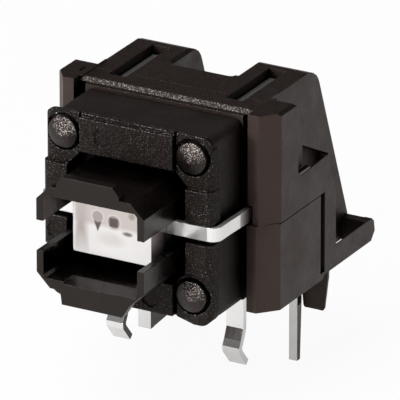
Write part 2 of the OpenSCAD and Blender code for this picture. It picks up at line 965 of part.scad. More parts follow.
module skirt_wall() {
    mid = bracket_half_w - skirt_t / 2;
    post_y = rear_post_front + rear_post_d;
    tip_h = bar_top - foot_h;
    side_plate(mid, skirt_t)
        difference() {
            polygon([
                [post_back - 1, 0],
                [rear_post_front - side_slot_w / 2, 0],
                [rear_post_front + 0.05, foot_bottom],
                [foot_back - 0.45, foot_bottom],
                [foot_back, foot_bottom + 0.5],
                [foot_back - 0.1, foot_h - 0.25],
                [foot_back - 0.35, foot_h],
                [post_y, foot_h],
                [post_y - 0.08, foot_h + tip_h * 0.37],
                [post_y - 0.18, foot_h + tip_h * 0.62],
                [post_y - 0.68, foot_h + tip_h * 0.83],
                [post_y - 1.04, bar_top + 0.1],
                [post_y - 1.3, bar_top + 0.16],
                [post_back + 0.4, bar_top],
                [post_back + 0.1, bar_top + 0.1],
                [post_back, bar_top + 0.4],
                [post_back - 1, bar_top + 0.4]
            ]);
            translate([rear_post_front - side_slot_w, foot_bottom + 0.2])
                square([side_slot_w, arm_top - foot_bottom - 0.2]);
        }
    box(
        [duct_outer - eps, rear_post_front, foot_bottom],
        [bracket_half_w - skirt_t + eps, rear_post_front + rear_post_d, foot_h]
    );
}

module rear_bar() {
    box(
        [-bracket_half_w + eps, slope_foot - wall_t, foot_bottom],
        [bracket_half_w - eps, foot_back - 0.4, foot_h - eps]
    );
}

// Locating peg: flat in front, round behind, tapered downwards
module peg() {
    y = rear_post_front + 0.9;
    difference() {
        translate([bracket_half_w - 1.17, y, 0])
            rotate_extrude($fn = 64)
                polygon([
                    [0, -peg_l],
                    [0.6, -peg_l],
                    [0.68, -peg_l + 0.12],
                    [0.76, -peg_l * 0.65],
                    [0.88, -peg_l * 0.2],
                    [0.92, foot_bottom + 0.3],
                    [0, foot_bottom + 0.3]
                ]);
        box([0, y - 2, -peg_l - past], [bracket_half_w + 2, y, foot_bottom + past]);
    }
}

// Ways through the wall and the roof for the four switch terminals
module terminal_ways() {
    way_back = terminal_t / 2 + way_gap;
    leg_way_w = terminal_w + 2 * way_gap;
    both_sides()
        translate([terminal_x, 0, 0]) {
            upright_way(leg_way_w, wall_front - past, way_back, -past, terminal_out_z + 0.35);
            upright_way(leg_way_w, wall_front - past, frame_y + 1, upper_out_z - 0.35, upper_out_z + 0.35);
            upright_way(channel_w, wall_front - past, way_back, upper_out_z - 0.35, upper_out_z + 0.3);
            upright_way(channel_w, channel_front, way_back, upper_out_z - 0.35, bracket_top + past);
            upright_way(channel_w, channel_front, upper_end + 0.3, channel_floor, bracket_top + past);
            upright_way(channel_w, upper_end - 0.3, upper_end + 0.3, channel_floor - 0.9, bracket_top + past);
        }
    both_sides()
        box([terminal_x, wall_front - past, -past], [post_inner, way_back, foot_bottom + 0.2]);
}

module upright_way(w, y0, y1, z0, z1) {
    box([-w / 2, y0, z0], [w / 2, y1, z1]);
}

// Ways between the base and the posts for the lamp's two leads, and the
// open notch on each side of the wall
module lead_ways() {
    z0 = axis_z - lead_half_h - 0.15;
    z1 = axis_z + lead_half_h + 0.1;
    both_sides() {
        box([base_half_w, post_front - past, z0], [lead_way_x, lead_row + 0.4, z1]);
        box([lead_pin_x - 0.62, lead_row - 0.4, -past], [lead_way_x, lead_row + 0.34, z1]);
        box([base_half_w + fit, post_front - past, -past], [post_inner, notch_back, notch_top]);
    }
}

front_cover();
switch_base();
plunger();
lamp_block();
lamp_cup_lead();
lamp_post_lead();
lamp_die();
bond_wire();
bracket();
contact_frame_left();
contact_frame_right();
snap_dome();
return_spring();
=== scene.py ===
"""Right-angle tactile push button switch with a lamp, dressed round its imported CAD."""

from math import cos, radians, sin

import bpy
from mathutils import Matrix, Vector


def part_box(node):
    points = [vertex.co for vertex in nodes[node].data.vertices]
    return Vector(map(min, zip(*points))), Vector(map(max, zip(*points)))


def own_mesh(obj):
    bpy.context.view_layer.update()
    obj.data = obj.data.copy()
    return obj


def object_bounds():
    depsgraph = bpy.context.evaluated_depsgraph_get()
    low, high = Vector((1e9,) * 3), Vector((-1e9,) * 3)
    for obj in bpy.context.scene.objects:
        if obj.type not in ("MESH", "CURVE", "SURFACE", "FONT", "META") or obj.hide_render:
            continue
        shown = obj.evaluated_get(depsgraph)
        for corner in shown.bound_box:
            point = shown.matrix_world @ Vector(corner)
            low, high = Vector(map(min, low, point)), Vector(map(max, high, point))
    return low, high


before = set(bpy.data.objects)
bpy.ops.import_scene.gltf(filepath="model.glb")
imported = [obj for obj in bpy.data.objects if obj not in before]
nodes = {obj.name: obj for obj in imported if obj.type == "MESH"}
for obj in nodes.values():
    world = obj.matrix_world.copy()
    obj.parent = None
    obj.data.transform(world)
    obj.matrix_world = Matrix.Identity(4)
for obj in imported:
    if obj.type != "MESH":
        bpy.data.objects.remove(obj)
cad_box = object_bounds()

# Camera
# A long lens from the front right and above, solved from the edges of the
# cover plate, the plunger's jaws and the terminals' 7.62 mm spacing.
MM = 0.001
CAMERA_AZIMUTH = 28.897
CAMERA_ELEVATION = 22.518
CAMERA_PLACE = (235.643, -424.327, 206.183)
CAMERA_LENS = 827.4
SENSOR_WIDTH = 36.0
NEAR_CLIP_M = 0.05
FAR_CLIP_M = 5.0

camera_data = bpy.data.cameras.new("camera")
camera_data.lens = CAMERA_LENS
camera_data.sensor_width = SENSOR_WIDTH
camera_data.clip_start = NEAR_CLIP_M
camera_data.clip_end = FAR_CLIP_M
camera = bpy.data.objects.new("camera", camera_data)
camera.location = Vector(CAMERA_PLACE) * MM
camera.rotation_euler = (radians(90 - CAMERA_ELEVATION), 0, radians(CAMERA_AZIMUTH))
bpy.context.collection.objects.link(camera)
bpy.context.scene.camera = camera
bpy.context.scene.view_settings.view_transform = "Standard"

# Room
# A dim room with a white horizon. Gloss and metal see a warm white below the
# horizon, which fades to the dim room just above it. The camera sees white.
ROOM_LEVEL = 0.11
HORIZON_TOP = 0.12
HORIZON_TINT = "#ffe6dc"


def srgb(hex_colour):
    """An sRGB hex value as the linear colour that a shader takes."""
    parts = [int(hex_colour[i : i + 2], 16) / 255 for i in (1, 3, 5)]
    linear = [p / 12.92 if p <= 0.04045 else ((p + 0.055) / 1.055) ** 2.4 for p in parts]
    return (*linear, 1.0)


def add_node(tree, kind, inputs=None, **settings):
    """Adds a shader node; an input is a link from another node or a plain value."""
    node = tree.nodes.new(kind)
    for name, value in settings.items():
        setattr(node, name, value)
    for socket, source in (inputs or {}).items():
        if isinstance(source, bpy.types.NodeSocket):
            tree.links.new(source, node.inputs[socket])
        else:
            node.inputs[socket].default_value = source
    return node


world = bpy.data.worlds.new("dim_room")
bpy.context.scene.world = world
world.use_nodes = True
tree = world.node_tree
tree.nodes.clear()
ray = add_node(tree, "ShaderNodeLightPath").outputs
way = add_node(tree, "ShaderNodeTexCoord").outputs["Generated"]
height = add_node(tree, "ShaderNodeSeparateXYZ", {0: way}).outputs["Z"]
low = add_node(
    tree,
    "ShaderNodeMapRange",
    {"Value": height, "From Min": HORIZON_TOP, "From Max": 0.0},
).outputs[0]
mirrored = add_node(
    tree,
    "ShaderNodeMath",
    {0: ray["Is Glossy Ray"], 1: ray["Is Transmission Ray"]},
    operation="MAXIMUM",
).outputs[0]
mirrored_low = add_node(tree, "ShaderNodeMath", {0: mirrored, 1: low}, operation="MULTIPLY")
dim = add_node(tree, "ShaderNodeBackground", {0: srgb("#ffffff"), 1: ROOM_LEVEL})
warm = add_node(tree, "ShaderNodeBackground", {0: srgb(HORIZON_TINT), 1: 1.0})
white = add_node(tree, "ShaderNodeBackground", {0: srgb("#ffffff"), 1: 1.0})
around = add_node(
    tree,
    "ShaderNodeMixShader",
    {0: mirrored_low.outputs[0], 1: dim.outputs[0], 2: warm.outputs[0]},
)
both = add_node(
    tree,
    "ShaderNodeMixShader",
    {0: ray["Is Camera Ray"], 1: around.outputs[0], 2: white.outputs[0]},
)
add_node(tree, "ShaderNodeOutputWorld", {"Surface": both.outputs[0]})

# Table
# A white paper sheet just under the ends of the lamp's pins. It shows white to
# the camera and to gloss, with a share of the lit paper that keeps the shadow.
TABLE_GAP = 0.1
TABLE_HALF = 1500
CAMERA_WHITE = 0.94
GLOSS_WHITE = 0.45

paper = bpy.data.materials.new("white_table_paper")
paper.use_nodes = True
tree = paper.node_tree
tree.nodes.clear()
ray = add_node(tree, "ShaderNodeLightPath").outputs
for_camera = add_node(
    tree,
    "ShaderNodeMath",
    {0: ray["Is Camera Ray"], 1: CAMERA_WHITE},
    operation="MULTIPLY",
).outputs[0]
mirrored = add_node(
    tree,
    "ShaderNodeMath",
    {0: ray["Is Glossy Ray"], 1: ray["Is Transmission Ray"]},
    operation="MAXIMUM",
).outputs[0]
for_gloss = add_node(
    tree,
    "ShaderNodeMath",
    {0: mirrored, 1: GLOSS_WHITE},
    operation="MULTIPLY",
).outputs[0]
share = add_node(tree, "ShaderNodeMath", {0: for_camera, 1: for_gloss}, operation="MAXIMUM")
lit = add_node(tree, "ShaderNodeBsdfDiffuse", {0: srgb("#f4f4f4")})
white = add_node(tree, "ShaderNodeEmission", {0: srgb("#ffffff"), 1: 1.0})
both = add_node(
    tree,
    "ShaderNodeMixShader",
    {0: share.outputs[0], 1: lit.outputs[0], 2: white.outputs[0]},
)
add_node(tree, "ShaderNodeOutputMaterial", {"Surface": both.outputs[0]})

table_mesh = bpy.data.meshes.new("table")
reach = TABLE_HALF * MM
table_mesh.from_pydata(
    [(-reach, -reach, 0), (reach, -reach, 0), (reach, reach, 0), (-reach, reach, 0)],
    [],
    [(0, 1, 2, 3)],
)
table_mesh.materials.append(paper)
table = bpy.data.objects.new("table", table_mesh)
table.location.z = cad_box[0][2] - TABLE_GAP * MM
bpy.context.collection.objects.link(table)

# Lamps
# One soft box at the front left, low enough to catch the stake heads, and a
# wide overhead one that lights the table evenly. Both look at the body.
BODY_MIDDLE = Vector((0, -3, 6))


def soft_box(name, azimuth, elevation, distance, size, power):
    """A square area lamp with its way in degrees, distance and size in mm, power in watts."""
    lamp = bpy.data.lights.new(name, "AREA")
    lamp.size = size * MM
    lamp.energy = power
    box = bpy.data.objects.new(name, lamp)
    bpy.context.collection.objects.link(box)
    level = cos(radians(elevation))
    away = Vector((
        sin(radians(azimuth)) * level,
        -cos(radians(azimuth)) * level,
        sin(radians(elevation)),
    ))
    box.location = (BODY_MIDDLE + away * distance) * MM
    box.rotation_euler = away.to_track_quat("Z", "Y").to_euler()


soft_box("front_left_box", azimuth=-13, elevation=16, distance=450, size=60, power=1.15)
soft_box("overhead_box", azimuth=-25, elevation=64, distance=460, size=300, power=1.75)

# Switch base
# Box of glass-filled nylon behind the cover, moulded satin black, whose four
# stakes pass through the cover and are formed over into round heads.
PLASTIC_IOR = 1.46
SHEEN_TINT = "#ffeee6"

# The heads reach back from the base's foremost points, by their depth in mm
HEAD_DEPTH = 0.6
HEAD_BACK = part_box("switch_base")[0][1] + HEAD_DEPTH * MM

# Ways that the faces with the strongest painted highlight look, as unit vectors:
# bevels upward to the front, and the crowns of the heads more to the front
BEVEL_WAY = (0.0, -0.76, 0.65)
HEAD_WAY = (0.12, -0.9, 0.42)

# Widths of the patterns in mm. Glints of grain and glass are finer than a
# pixel of the render, so they are drawn as coarse as they need to be to show.
PATCH_MM = 1.6
GLINT_MM = 0.07
DUST_SPACING_MM = 1.1
RECESS_MM = 2.0

# Samples of the nodes that look round a point, for corners and recesses
NEARBY_SAMPLES = 6

# Rubbed wear and painted highlight start at the first value of each pair and are
# full at the second: the cosine at a softened corner, the cosine to the lit way, a glint's height.
CORNER_TURN = (0.985, 0.86)
CORNER_WEAR_AND_HIGHLIGHT = 0.3
HIGHLIGHT_TURN = (0.86, 0.98)
GLINT_HEIGHT = (0.53, 0.68)
RUBBED_AND_HIGHLIGHT_GREY = "#bdb5b1"


def rubbed_and_highlight_share(tree, soft_normal, flat_normal, glints, highlight_way, wear_and_highlight):
    """How brightly a point is painted: rubbed wear with a painted highlight at corners, and a
    painted highlight most where it faces the lit way.
    """
    turned = add_node(
        tree,
        "ShaderNodeVectorMath",
        {0: soft_normal, 1: flat_normal},
        operation="DOT_PRODUCT",
    ).outputs["Value"]
    at_corner = add_node(
        tree,
        "ShaderNodeMapRange",
        {
            "Value": turned,
            "From Min": CORNER_TURN[0],
            "From Max": CORNER_TURN[1],
            "To Max": CORNER_WEAR_AND_HIGHLIGHT,
        },
    ).outputs[0]
    facing = add_node(
        tree,
        "ShaderNodeVectorMath",
        {0: soft_normal, 1: highlight_way},
        operation="DOT_PRODUCT",
    ).outputs["Value"]
    facing = add_node(
        tree,
        "ShaderNodeMapRange",
        {"Value": facing, "From Min": HIGHLIGHT_TURN[0], "From Max": HIGHLIGHT_TURN[1]},
    ).outputs[0]
    corner_and_lit_face = add_node(
        tree,
        "ShaderNodeMath",
        {0: at_corner, 1: facing},
        operation="MAXIMUM",
    ).outputs[0]
    bright = add_node(
        tree,
        "ShaderNodeMapRange",
        {
            "Value": glints,
            "From Min": GLINT_HEIGHT[0],
            "From Max": GLINT_HEIGHT[1],
            "To Max": wear_and_highlight,
        },
    ).outputs[0]
    return add_node(
        tree,
        "ShaderNodeMath",
        {0: corner_and_lit_face, 1: bright},
        operation="MULTIPLY",
    ).outputs[0]


# The share of cells that stay clean, the largest speck's radius as a share of
# a cell, and how much a speck hides.
DUST_CLEAN = 0.7
DUST_RADIUS = 0.06
DUST_COVER = 0.35
DUST_GREY = "#b4aca8"


def dust_share(tree, place):
    """Single round specks of dust, of many sizes, on a few of the pattern's cells."""
    cells = add_node(
        tree,
        "ShaderNodeTexVoronoi",
        {"Vector": place, "Scale": 1 / (DUST_SPACING_MM * MM)},
    ).outputs
    lot = add_node(tree, "ShaderNodeSeparateColor", {0: cells["Color"]}).outputs[0]
    radius = add_node(
        tree,
        "ShaderNodeMapRange",
        {"Value": lot, "From Min": DUST_CLEAN, "From Max": 1.0, "To Max": DUST_RADIUS},
    ).outputs[0]
    speck = add_node(
        tree,
        "ShaderNodeMath",
        {0: cells["Distance"], 1: radius},
        operation="LESS_THAN",
    ).outputs[0]
    return add_node(
        tree,
        "ShaderNodeMath",
        {0: speck, 1: DUST_COVER},
        operation="MULTIPLY",
    ).outputs[0]


# Flecks fade in over this much of their pattern's height. Between two heights
# of the patches they grow from their least to full, and the roughness changes.
FLECK_FADE = 0.14
FLECK_PATCH = (0.35, 0.65)
FLECK_LEAST = 0.35
ROUGH_PATCH = (0.3, 0.7)
ROUGH_SPREAD = 0.09

# Brightness of the grain's pits as a share of the plastic's colour
PIT_SHADE = 0.4

# Upright walls have a small Z in their normal, and a lighter tone of painted light fades in
# towards it
UPRIGHT_LIGHT_TILT = (0.7, 0.1)

# Share of open sky over a point at which the painted shade of a recess starts to lift and is gone
RECESS_LIGHT = (0.3, 0.75)
RECESS_LEAST = 0.05


def moulded_plastic(
    name,
    colour,
    fleck,
    fleck_cut,
    rough,
    grain,
    edge_mm=0.07,
    wear_and_highlight=0.5,
    highlight_way=BEVEL_WAY,
    formed=0,
    shine=0.5,
    upright_painted_light=None,
):
    """Moulded black plastic with grain, flecks, dust, rubbed corners with a painted highlight,
    painted highlights on faces turned to the lamp, and painted shade in recesses.

    Flecks show above fleck_cut in their pattern, grain is a width and a depth in mm, edge_mm
    is the softness of corners, wear_and_highlight is how bright the rubbed corners and the
    painted highlight are, most where a face looks along highlight_way, formed is how much
    smoother the stakes' heads are, and upright_painted_light paints the upright walls lighter as
    painted light.
    """
    material = bpy.data.materials.new(name)
    material.use_nodes = True
    tree = material.node_tree
    tree.nodes.clear()
    place = add_node(tree, "ShaderNodeTexCoord").outputs["Object"]
    grain_mm, grain_depth_mm = grain
    pits = add_node(
        tree,
        "ShaderNodeTexNoise",
        {"Vector": place, "Scale": 1 / (grain_mm * MM), "Detail": 3.0, "Roughness": 0.65},
    ).outputs[0]
    patches = add_node(
        tree,
        "ShaderNodeTexNoise",
        {"Vector": place, "Scale": 1 / (PATCH_MM * MM), "Detail": 4.0, "Roughness": 0.6},
    ).outputs[0]
    glints = add_node(
        tree,
        "ShaderNodeTexNoise",
        {"Vector": place, "Scale": 1 / (GLINT_MM * MM), "Detail": 1.0},
    ).outputs[0]
    soft_normal = add_node(
        tree,
        "ShaderNodeBevel",
        {"Radius": edge_mm * MM},
        samples=NEARBY_SAMPLES,
    ).outputs[0]
    flat_normal = add_node(tree, "ShaderNodeNewGeometry").outputs["Normal"]
    rubbed_and_lit_share = rubbed_and_highlight_share(tree, soft_normal, flat_normal, glints, highlight_way, wear_and_highlight)
    dust = dust_share(tree, place)

    flecked = add_node(
        tree,
        "ShaderNodeMapRange",
        {"Value": glints, "From Min": fleck_cut, "From Max": fleck_cut + FLECK_FADE},
    ).outputs[0]
    uneven = add_node(
        tree,
        "ShaderNodeMapRange",
        {
            "Value": patches,
            "From Min": FLECK_PATCH[0],
            "From Max": FLECK_PATCH[1],
            "To Min": FLECK_LEAST,
        },
    ).outputs[0]
    flecked = add_node(
        tree,
        "ShaderNodeMath",
        {0: flecked, 1: uneven},
        operation="MULTIPLY",
    ).outputs[0]
    dark = [v * PIT_SHADE for v in srgb(colour)[:3]] + [1]
    tone = add_node(tree, "ShaderNodeMixRGB", {0: pits, 1: dark, 2: srgb(colour)}).outputs[0]
    tone = add_node(tree, "ShaderNodeMixRGB", {0: flecked, 1: tone, 2: srgb(fleck)}).outputs[0]
    # Rubbed wear with a painted highlight: corners, and faces turned to the lamp, are painted a
    # lighter grey in speckles
    tone = add_node(tree, "ShaderNodeMixRGB", {0: rubbed_and_lit_share, 1: tone, 2: srgb(RUBBED_AND_HIGHLIGHT_GREY)}).outputs[0]
    tone = add_node(tree, "ShaderNodeMixRGB", {0: dust, 1: tone, 2: srgb(DUST_GREY)}).outputs[0]
    # Painted light: upright walls are painted a lighter brown than the tops
    if upright_painted_light:
        upright = add_node(tree, "ShaderNodeSeparateXYZ", {0: flat_normal}).outputs["Z"]
        upright = add_node(tree, "ShaderNodeMath", {0: upright}, operation="ABSOLUTE").outputs[0]
        upright = add_node(
            tree,
            "ShaderNodeMapRange",
            {"Value": upright, "From Min": UPRIGHT_LIGHT_TILT[0], "From Max": UPRIGHT_LIGHT_TILT[1]},
        ).outputs[0]
        tone = add_node(tree, "ShaderNodeMixRGB", {0: upright, 1: tone, 2: srgb(upright_painted_light)}).outputs[0]
    gloss = add_node(
        tree,
        "ShaderNodeMapRange",
        {
            "Value": patches,
            "From Min": ROUGH_PATCH[0],
            "From Max": ROUGH_PATCH[1],
            "To Min": rough - ROUGH_SPREAD,
            "To Max": rough + ROUGH_SPREAD,
        },
    ).outputs[0]
    # Heads in front of the cover are pressed smooth by the forming tool
    head = add_node(tree, "ShaderNodeSeparateXYZ", {0: place}).outputs["Y"]
    head = add_node(
        tree,
        "ShaderNodeMath",
        {0: head, 1: HEAD_BACK},
        operation="LESS_THAN",
    ).outputs[0]
    head = add_node(tree, "ShaderNodeMath", {0: head, 1: formed}, operation="MULTIPLY").outputs[0]
    gloss = add_node(tree, "ShaderNodeMath", {0: gloss, 1: head}, operation="SUBTRACT").outputs[0]
    # Painted shade: in recesses the colour is painted darker towards black, and gloss fades there
    # too
    reached = add_node(
        tree,
        "ShaderNodeAmbientOcclusion",
        {"Distance": RECESS_MM * MM},
        samples=NEARBY_SAMPLES,
    ).outputs["AO"]
    reached = add_node(
        tree,
        "ShaderNodeMapRange",
        {
            "Value": reached,
            "From Min": RECESS_LIGHT[0],
            "From Max": RECESS_LIGHT[1],
            "To Min": RECESS_LEAST,
        },
    ).outputs[0]
    tone = add_node(
        tree,
        "ShaderNodeMixRGB",
        {0: reached, 1: srgb("#000000"), 2: tone},
    ).outputs[0]
    lit_shine = add_node(
        tree,
        "ShaderNodeMath",
        {0: reached, 1: shine},
        operation="MULTIPLY",
    ).outputs[0]
    bump = add_node(
        tree,
        "ShaderNodeBump",
        {"Height": pits, "Normal": soft_normal, "Distance": grain_depth_mm * MM},
    ).outputs[0]
    surface = add_node(
        tree,
        "ShaderNodeBsdfPrincipled",
        {
            "Base Color": tone,
            "Roughness": gloss,
            "Normal": bump,
            "IOR": PLASTIC_IOR,
            "Specular IOR Level": lit_shine,
            "Specular Tint": srgb(SHEEN_TINT),
        },
    )
    add_node(tree, "ShaderNodeOutputMaterial", {"Surface": surface.outputs[0]})
    return material


def finish_piece(name, material):
    """Gives a CAD piece its finish through the object's material slots."""
    for slot in nodes[name].material_slots:
        slot.material = material


# Satin glass-filled nylon: brownish black, with a soft sheen and faint patches.
# Its formed heads are smoother, and their crowns carry a painted glittering highlight.
finish_piece(
    "switch_base",
    moulded_plastic(
        "satin_black_nylon",
        colour="#120c0a",
        fleck="#332d2b",
        fleck_cut=0.58,
        rough=0.55,
        grain=(0.1, 0.04),
        wear_and_highlight=1.0,
        highlight_way=HEAD_WAY,
        formed=0.34,
    ),
)

# Front cover
# Cover plate of the same nylon from a spark-eroded mould. It is held by the
# base's formed stakes, and its raised bands are finely grained.

# Spark-eroded nylon: a matt grain of about 0.12 mm, with a painted sparkling highlight at edges.
finish_piece(
    "front_cover",
    moulded_plastic(
        "spark_eroded_black_nylon",
        colour="#0b0705",
        fleck="#7a716d",
        fleck_cut=0.6,
        rough=0.55,
        grain=(0.12, 0.06),
        edge_mm=0.1,
        wear_and_highlight=1.0,
        shine=0.26,
    ),
)

# Plunger
# Acetal moulding with two jaws round the lamp. It slides in the cover's
# window, and both of its catches hold a cap.

# Moulded acetal: the smoothest and darkest plastic here, with a clean gloss.
finish_piece(
    "plunger",
    moulded_plastic(
        "smooth_black_acetal",
        colour="#060302",
        fleck="#1a1513",
        fleck_cut=0.62,
        rough=0.25,
        grain=(0.4, 0.008),
        edge_mm=0.06,
        wear_and_highlight=0.25,
    ),
)

# Bracket
# Right-angle bracket, moulded in one piece with its ducts, posts, skirt and
# pegs. The base is pushed between its posts.

# Moulded polyester: a little lighter and browner than the base, with a weaker
# sheen. Its upright walls are painted a lighter brown as painted light.
finish_piece(
    "bracket",
    moulded_plastic(
        "matt_black_polyester",
        colour="#170e0b",
        fleck="#3a312d",
        fleck_cut=0.57,
        rough=0.45,
        grain=(0.14, 0.04),
        wear_and_highlight=0.65,
        shine=0.3,
        upright_painted_light="#3b302c",
    ),
)

# Contact stampings and lamp leads
# Brass strip, plated bright silver, then sheared and bent. The stampings are
# moulded into the base, and the leads are cast into the lamp.
# Colour of bare sheared metal, and of the painted shade and painted dark reflection on the plate
BARE_AND_SHADE_BROWN = "#4e4642"

# Heights of the body's foot and of the floor of the roof's grooves, and the
# stretch along Y over which a run near the bracket is painted into shade
BODY_FOOT = 0.2 * MM
GROOVE_FLOOR = 11.0 * MM
PAINTED_SHADE_RUN = (-3.0 * MM, -2.2 * MM)

# The Z of the first bend's normal, give or take its margin, and the X of a
# normal from which a side counts as sheared, up to where it does so fully
FIRST_BEND_TILT = 0.39
TILT_MARGIN = 0.06
SIDE_TURN = (0.85, 0.97)

# Rolling marks run along the legs and the runs, which lie along Z and Y, so
# their pattern is stretched that way
ROLLED = (1.0, 0.3, 0.3)
MARK_DEPTH_MM = 0.004

# The metal's patches: their width, how dark they get and how the gloss varies
METAL_PATCH_MM = 1.2
PATCH_SHADE = 0.86
GLOSS_SPREAD = (-0.04, 0.05)


def bare_and_shade_share(tree, place, bare_and_shaded_side, painted_dark_bend):
    """How dark the plate is painted: sheared sides below the body, bare metal with painted shade;
    a painted dark reflection on the first bend below the body; and painted shade on runs near the
    bracket.
    """
    facing = add_node(tree, "ShaderNodeNewGeometry").outputs["Normal"]
    tilt = add_node(tree, "ShaderNodeSeparateXYZ", {0: facing}).outputs["Z"]
    facing = add_node(tree, "ShaderNodeVectorMath", {0: facing}, operation="ABSOLUTE").outputs[0]
    facing_x = add_node(tree, "ShaderNodeSeparateXYZ", {0: facing}).outputs["X"]
    axes = add_node(tree, "ShaderNodeSeparateXYZ", {0: place}).outputs
    sheared = add_node(
        tree,
        "ShaderNodeMapRange",
        {"Value": facing_x, "From Min": SIDE_TURN[0], "From Max": SIDE_TURN[1]},
    ).outputs[0]
    below = add_node(
        tree,
        "ShaderNodeMath",
        {0: axes["Z"], 1: BODY_FOOT},
        operation="LESS_THAN",
    ).outputs[0]
    # Runs near the bracket, above the body's foot and under the roof's grooves, get painted shade
    behind = add_node(
        tree,
        "ShaderNodeMapRange",
        {"Value": axes["Y"], "From Min": PAINTED_SHADE_RUN[0], "From Max": PAINTED_SHADE_RUN[1]},
    ).outputs[0]
    above = add_node(tree, "ShaderNodeMath", {0: 1.0, 1: below}, operation="SUBTRACT").outputs[0]
    under_roof = add_node(
        tree,
        "ShaderNodeMath",
        {0: axes["Z"], 1: GROOVE_FLOOR},
        operation="LESS_THAN",
    ).outputs[0]
    inside = add_node(
        tree,
        "ShaderNodeMath",
        {0: behind, 1: above},
        operation="MULTIPLY",
    ).outputs[0]
    inside = add_node(
        tree,
        "ShaderNodeMath",
        {0: inside, 1: under_roof},
        operation="MULTIPLY",
    ).outputs[0]
    # The first bend below the body gets a painted dark reflection
    bent = add_node(
        tree,
        "ShaderNodeMath",
        {0: tilt, 1: FIRST_BEND_TILT, 2: TILT_MARGIN},
        operation="COMPARE",
    ).outputs[0]
    bent = add_node(
        tree,
        "ShaderNodeMath",
        {0: bent, 1: painted_dark_bend},
        operation="MULTIPLY",
    ).outputs[0]
    sheared = add_node(
        tree,
        "ShaderNodeMath",
        {0: sheared, 1: bare_and_shaded_side},
        operation="MULTIPLY",
    ).outputs[0]
    side_and_bend_dark = add_node(
        tree,
        "ShaderNodeMath",
        {0: sheared, 1: bent},
        operation="MAXIMUM",
    ).outputs[0]
    side_and_bend_dark = add_node(
        tree,
        "ShaderNodeMath",
        {0: side_and_bend_dark, 1: below},
        operation="MULTIPLY",
    ).outputs[0]
    return add_node(
        tree,
        "ShaderNodeMath",
        {0: side_and_bend_dark, 1: inside},
        operation="MAXIMUM",
    ).outputs[0]


def strip_metal(name, colour, rough, mark_mm, edge_mm, metallic=1.0, bare_and_shaded_side=0.0, painted_dark_bend=0.0):
    """Rolled or drawn metal: faint marks mark_mm wide, soft corners and duller patches.

    bare_and_shaded_side is how dark the sheared sides are painted, bare metal with painted shade,
    and painted_dark_bend is the share of painted dark reflection on the first bend. Either one
    also brings painted shade on runs near the bracket.
    """
    material = bpy.data.materials.new(name)
    material.use_nodes = True
    tree = material.node_tree
    tree.nodes.clear()
    place = add_node(tree, "ShaderNodeTexCoord").outputs["Object"]
    stretched = add_node(tree, "ShaderNodeMapping", {"Vector": place, "Scale": ROLLED}).outputs[0]
    marks = add_node(
        tree,
        "ShaderNodeTexNoise",
        {"Vector": stretched, "Scale": 1 / (mark_mm * MM), "Detail": 3.0},
    ).outputs[0]
    patches = add_node(
        tree,
        "ShaderNodeTexNoise",
        {"Vector": place, "Scale": 1 / (METAL_PATCH_MM * MM), "Detail": 3.0},
    ).outputs[0]
    soft_normal = add_node(
        tree,
        "ShaderNodeBevel",
        {"Radius": edge_mm * MM},
        samples=NEARBY_SAMPLES,
    ).outputs[0]
    bump = add_node(
        tree,
        "ShaderNodeBump",
        {"Height": marks, "Normal": soft_normal, "Distance": MARK_DEPTH_MM * MM},
    ).outputs[0]
    gloss = add_node(
        tree,
        "ShaderNodeMapRange",
        {
            "Value": patches,
            "To Min": rough + GLOSS_SPREAD[0],
            "To Max": rough + GLOSS_SPREAD[1],
        },
    ).outputs[0]
    dull = [v * PATCH_SHADE for v in srgb(colour)[:3]] + [1]
    tone = add_node(
        tree,
        "ShaderNodeMixRGB",
        {0: patches, 1: srgb(colour), 2: dull},
    ).outputs[0]
    # Painted dark: bare sheared sides with painted shade, the first bend's painted dark reflection
    # and painted shade on runs near the bracket
    if bare_and_shaded_side or painted_dark_bend:
        bare_and_shade = bare_and_shade_share(tree, place, bare_and_shaded_side, painted_dark_bend)
        tone = add_node(
            tree,
            "ShaderNodeMixRGB",
            {0: bare_and_shade, 1: tone, 2: srgb(BARE_AND_SHADE_BROWN)},
        ).outputs[0]
    surface = add_node(
        tree,
        "ShaderNodeBsdfPrincipled",
        {"Base Color": tone, "Metallic": metallic, "Roughness": gloss, "Normal": bump},
    )
    add_node(tree, "ShaderNodeOutputMaterial", {"Surface": surface.outputs[0]})
    return material


# Bright silver plate on brass: nearly white, a clear mirror of the table. Its
# sheared sides below the body are painted dark, bare metal with painted shade,
# and its runs near the bracket get painted shade.
finish_piece(
    "contact_frame_left",
    strip_metal(
        "bright_silver_plate",
        colour="#fefcfb",
        rough=0.14,
        mark_mm=0.25,
        edge_mm=0.05,
        metallic=0.9,
        bare_and_shaded_side=1.0,
    ),
)

# The same plate, with a painted dark reflection on the right leg's first bend,
# a little painted shade on its sheared sides and painted shade on its runs near the bracket.
finish_piece(
    "contact_frame_right",
    strip_metal(
        "silver_plate_with_painted_dark_bend",
        colour="#fefcfb",
        rough=0.14,
        mark_mm=0.25,
        edge_mm=0.05,
        metallic=0.9,
        bare_and_shaded_side=0.15,
        painted_dark_bend=0.9,
    ),
)

# The same plate on the lamp's leads, a little rougher, so its gloss is softer.
# Its sheared sides are painted dark, bare metal with painted shade, and its runs near the bracket
# get painted shade.
satin_plate = strip_metal(
    "satin_silver_plate",
    colour="#fefcfa",
    rough=0.17,
    mark_mm=0.3,
    edge_mm=0.05,
    metallic=0.7,
    bare_and_shaded_side=1.0,
)
for name in ("lamp_cup_lead", "lamp_post_lead"):
    finish_piece(name, satin_plate)

# Lamp block
# Epoxy cast round the cup and the post of the two leads. From the front the
# scattered light makes it milky, and its sides are painted darker towards the back, as painted
# shade of the dark window behind.
LAMP_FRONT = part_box("lamp_block")[0][1] / MM

# The front is greyer above a soft edge between two heights in mm
MILKY = "#fbf8f7"
UPPER_MILKY = "#d6ccc8"
UPPER_EDGE = (5.95, 6.25)

